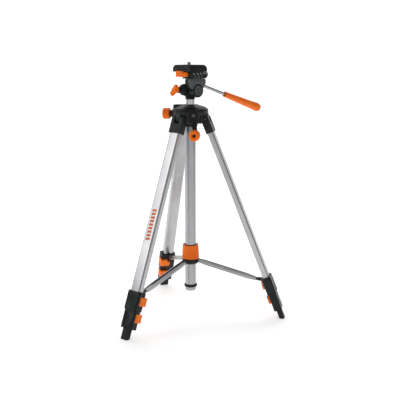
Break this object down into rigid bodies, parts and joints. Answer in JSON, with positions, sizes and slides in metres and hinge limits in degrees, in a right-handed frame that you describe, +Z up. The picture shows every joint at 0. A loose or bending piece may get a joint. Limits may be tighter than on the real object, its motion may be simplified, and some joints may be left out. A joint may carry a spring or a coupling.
{
  "type": "laser level tripod",
  "caption": "Folding tripod for a laser level, with telescopic flat-section legs, braced hub, geared column, crank, and pan and tilt head with quick release plate.",
  "frame": {"origin": "on the floor, at the middle of the part's box, 5.2 mm from the column's axis", "axes": "+Z up along the column, one leg towards -Y, the other two at 30 and 150 degrees from +X"},
  "size_m": [0.3274, 0.36, 0.4855],
  "materials": {
    "aluminium": "satin anodised, drawn tube",
    "chrome": "bright plated",
    "steel": "bright plated",
    "black_plastic": "moulded, fine grain",
    "grey_plastic": "moulded, fine grain",
    "orange_plastic": "moulded, soft sheen",
    "rubber": "moulded"
  },
  "bodies": {
    "shoulder": {"shoulder_casting": "black_plastic", "shoulder_collar": "black_plastic", "crank_housing_cover": "black_plastic", "leg_1_hinge_pin": "steel", "leg_2_hinge_pin": "steel", "leg_3_hinge_pin": "steel", "center_tube": "aluminium", "tube_stop_ring": "black_plastic", "tube_end_cap": "aluminium"},
    "column": {"column_tube": "chrome", "column_rack": "black_plastic", "head_neck": "black_plastic"},
    "crank": {"crank_shaft": "steel", "crank_arm": "black_plastic"},
    "crank_knob": {"crank_knob": "orange_plastic"},
    "column_lock_knob": {"column_lock_knob": "orange_plastic"},
    "pan": {"pan_base": "black_plastic"},
    "pan_lock_knob": {"pan_lock_knob": "orange_plastic"},
    "tilt": {"tilt_axle": "steel", "tilt_body": "grey_plastic", "tilt_cover": "grey_plastic", "platform": "black_plastic"},
    "handle": {"handle_rod": "chrome", "handle_grip": "orange_plastic"},
    "release_lever": {"release_lever": "orange_plastic"},
    "plate": {"quick_release_plate": "black_plastic", "plate_pad": "rubber"},
    "camera_screw": {"camera_screw": "steel"},
    "hub": {"brace_hub": "black_plastic"},
    "hub_lock_nut": {"hub_lock_nut": "orange_plastic"},
    "leg_1": {"leg_1_casting": "black_plastic", "leg_1_upper_tube": "aluminium", "leg_1_upper_collar": "black_plastic"},
    "leg_1_upper_lever": {"leg_1_upper_lever": "orange_plastic"},
    "leg_1_middle": {"leg_1_middle_tube": "aluminium", "leg_1_middle_collar": "black_plastic"},
    "leg_1_lower_lever": {"leg_1_lower_lever": "orange_plastic"},
    "leg_1_lower": {"leg_1_lower_tube": "aluminium", "leg_1_foot": "rubber"},
    "brace_1": {"brace_1": "aluminium"},
    "leg_2": {"leg_2_casting": "black_plastic", "leg_2_upper_tube": "aluminium", "leg_2_upper_collar": "black_plastic"},
    "leg_2_upper_lever": {"leg_2_upper_lever": "orange_plastic"},
    "leg_2_middle": {"leg_2_middle_tube": "aluminium", "leg_2_middle_collar": "black_plastic"},
    "leg_2_lower_lever": {"leg_2_lower_lever": "orange_plastic"},
    "leg_2_lower": {"leg_2_lower_tube": "aluminium", "leg_2_foot": "rubber"},
    "brace_2": {"brace_2": "aluminium"},
    "leg_3": {"leg_3_casting": "black_plastic", "leg_3_upper_tube": "aluminium", "leg_3_upper_collar": "black_plastic"},
    "leg_3_upper_lever": {"leg_3_upper_lever": "orange_plastic"},
    "leg_3_middle": {"leg_3_middle_tube": "aluminium", "leg_3_middle_collar": "black_plastic"},
    "leg_3_lower_lever": {"leg_3_lower_lever": "orange_plastic"},
    "leg_3_lower": {"leg_3_lower_tube": "aluminium", "leg_3_foot": "rubber"},
    "brace_3": {"brace_3": "aluminium"}
  },
  "joints": [
    {"name": "column_slide", "type": "slide", "parent": "shoulder", "child": "column", "axis": [0, 0, 1], "range_m": [0, 0.2]},
    {"name": "crank_turn", "type": "hinge", "parent": "shoulder", "child": "crank", "pos_m": [0.01195, 0.01207, 0.39], "axis": [-0.5, 0.866, 0], "range_deg": [-5, 1770]},
    {"name": "crank_knob_spin", "type": "hinge", "parent": "crank", "child": "crank_knob", "pos_m": [0.01663, 0.01477, 0.356], "axis": [0.5, -0.866, 0], "continuous": true},
    {"name": "column_lock_turn", "type": "hinge", "parent": "shoulder", "child": "column_lock_knob", "pos_m": [0, 0.00517, 0.39], "axis": [-0.866, -0.5, 0], "range_deg": [0, 270]},
    {"name": "pan_turn", "type": "hinge", "parent": "column", "child": "pan", "pos_m": [0, 0.00517, 0.4178], "axis": [0, 0, 1], "continuous": true},
    {"name": "pan_lock_turn", "type": "hinge", "parent": "pan", "child": "pan_lock_knob", "pos_m": [0, 0.00517, 0.435], "axis": [-0.1175, -0.9931, 0], "range_deg": [0, 180]},
    {"name": "tilt_turn", "type": "hinge", "parent": "pan", "child": "tilt", "pos_m": [0, 0.00517, 0.4335], "axis": [0.9931, -0.1175, 0], "range_deg": [-30, 15]},
    {"name": "handle_twist", "type": "hinge", "parent": "tilt", "child": "handle", "pos_m": [0.01478, 0.02799, 0.4409], "axis": [0.1119, 0.9453, -0.3065], "range_deg": [0, 180]},
    {"name": "release_lever_turn", "type": "hinge", "parent": "tilt", "child": "release_lever", "pos_m": [0.00621, -0.0147, 0.4645], "axis": [0, 0, -1], "range_deg": [-70, 0]},
    {"name": "plate_lift", "type": "slide", "parent": "tilt", "child": "plate", "axis": [0, 0, 1], "range_m": [0, 0.03]},
    {"name": "camera_screw_turn", "type": "hinge", "parent": "plate", "child": "camera_screw", "pos_m": [-0.00031, 0.00259, 0.465], "axis": [0, 0, 1], "continuous": true},
    {"name": "hub_slide", "type": "slide", "parent": "shoulder", "child": "hub", "axis": [0, 0, 1], "range_m": [0, 0.0692]},
    {"name": "hub_nut_turn", "type": "hinge", "parent": "hub", "child": "hub_lock_nut", "pos_m": [0, 0.00517, 0.124], "axis": [0, 0, 1], "range_deg": [0, 180]},
    {"name": "leg_1_fold", "type": "hinge", "parent": "shoulder", "child": "leg_1", "pos_m": [0, -0.02453, 0.3815], "axis": [1, 0, 0], "range_deg": [0, 18.5]},
    {"name": "leg_2_fold", "type": "hinge", "parent": "shoulder", "child": "leg_2", "pos_m": [0.02572, 0.02002, 0.3815], "axis": [-0.5, 0.866, 0], "range_deg": [0, 18.5]},
    {"name": "leg_3_fold", "type": "hinge", "parent": "shoulder", "child": "leg_3", "pos_m": [-0.02572, 0.02002, 0.3815], "axis": [-0.5, -0.866, 0], "range_deg": [0, 18.5]},
    {"name": "brace_1_fold", "type": "hinge", "parent": "hub", "child": "brace_1", "pos_m": [0, -0.01063, 0.10618], "axis": [1, 0, 0], "range_deg": [0, 70.6]},
    {"name": "brace_2_fold", "type": "hinge", "parent": "hub", "child": "brace_2", "pos_m": [0.01368, 0.01307, 0.10618], "axis": [-0.5, 0.866, 0], "range_deg": [0, 70.6]},
    {"name": "brace_3_fold", "type": "hinge", "parent": "hub", "child": "brace_3", "pos_m": [-0.01368, 0.01307, 0.10618], "axis": [-0.5, -0.866, 0], "range_deg": [0, 70.6]},
    {"name": "leg_1_middle_slide", "type": "slide", "parent": "leg_1", "child": "leg_1_middle", "axis": [0, -0.3665, -0.9304], "range_m": [0, 0.23]},
    {"name": "leg_1_lower_slide", "type": "slide", "parent": "leg_1_middle", "child": "leg_1_lower", "axis": [0, -0.3665, -0.9304], "range_m": [0, 0.22]},
    {"name": "leg_1_upper_lever_turn", "type": "hinge", "parent": "leg_1", "child": "leg_1_upper_lever", "pos_m": [0.0152, -0.14933, 0.06604], "axis": [0, 0.3665, 0.9304], "range_deg": [-95, 0]},
    {"name": "leg_1_lower_lever_turn", "type": "hinge", "parent": "leg_1_middle", "child": "leg_1_lower_lever", "pos_m": [0.0137, -0.16047, 0.03722], "axis": [0, 0.3665, 0.9304], "range_deg": [-95, 0]},
    {"name": "leg_2_middle_slide", "type": "slide", "parent": "leg_2", "child": "leg_2_middle", "axis": [0.3174, 0.1833, -0.9304], "range_m": [0, 0.23]},
    {"name": "leg_2_lower_slide", "type": "slide", "parent": "leg_2_middle", "child": "leg_2_lower", "axis": [0.3174, 0.1833, -0.9304], "range_m": [0, 0.22]},
    {"name": "leg_2_upper_lever_turn", "type": "hinge", "parent": "leg_2", "child": "leg_2_upper_lever", "pos_m": [0.1262, 0.09558, 0.06604], "axis": [-0.3174, -0.1833, 0.9304], "range_deg": [-95, 0]},
    {"name": "leg_2_lower_lever_turn", "type": "hinge", "parent": "leg_2_middle", "child": "leg_2_lower_lever", "pos_m": [0.1366, 0.09985, 0.03722], "axis": [-0.3174, -0.1833, 0.9304], "range_deg": [-95, 0]},
    {"name": "leg_3_middle_slide", "type": "slide", "parent": "leg_3", "child": "leg_3_middle", "axis": [-0.3174, 0.1833, -0.9304], "range_m": [0, 0.23]},
    {"name": "leg_3_lower_slide", "type": "slide", "parent": "leg_3_middle", "child": "leg_3_lower", "axis": [-0.3174, 0.1833, -0.9304], "range_m": [0, 0.22]},
    {"name": "leg_3_upper_lever_turn", "type": "hinge", "parent": "leg_3", "child": "leg_3_upper_lever", "pos_m": [-0.1414, 0.06925, 0.06604], "axis": [0.3174, -0.1833, 0.9304], "range_deg": [-95, 0]},
    {"name": "leg_3_lower_lever_turn", "type": "hinge", "parent": "leg_3_middle", "child": "leg_3_lower_lever", "pos_m": [-0.1503, 0.07612, 0.03722], "axis": [0.3174, -0.1833, 0.9304], "range_deg": [-95, 0]}
  ],
  "couplings": [
    {"joint": "crank_turn", "follows": "column_slide", "rad_per_m": 153.85},
    {"joint": "hub_slide", "follows": "leg_1_fold", "m_per_rad": 0.21388},
    {"joint": "leg_2_fold", "follows": "leg_1_fold", "ratio": 1},
    {"joint": "leg_3_fold", "follows": "leg_1_fold", "ratio": 1},
    {"joint": "brace_1_fold", "follows": "leg_1_fold", "ratio": 3.8115},
    {"joint": "brace_2_fold", "follows": "leg_1_fold", "ratio": 3.8115},
    {"joint": "brace_3_fold", "follows": "leg_1_fold", "ratio": 3.8115}
  ]
}
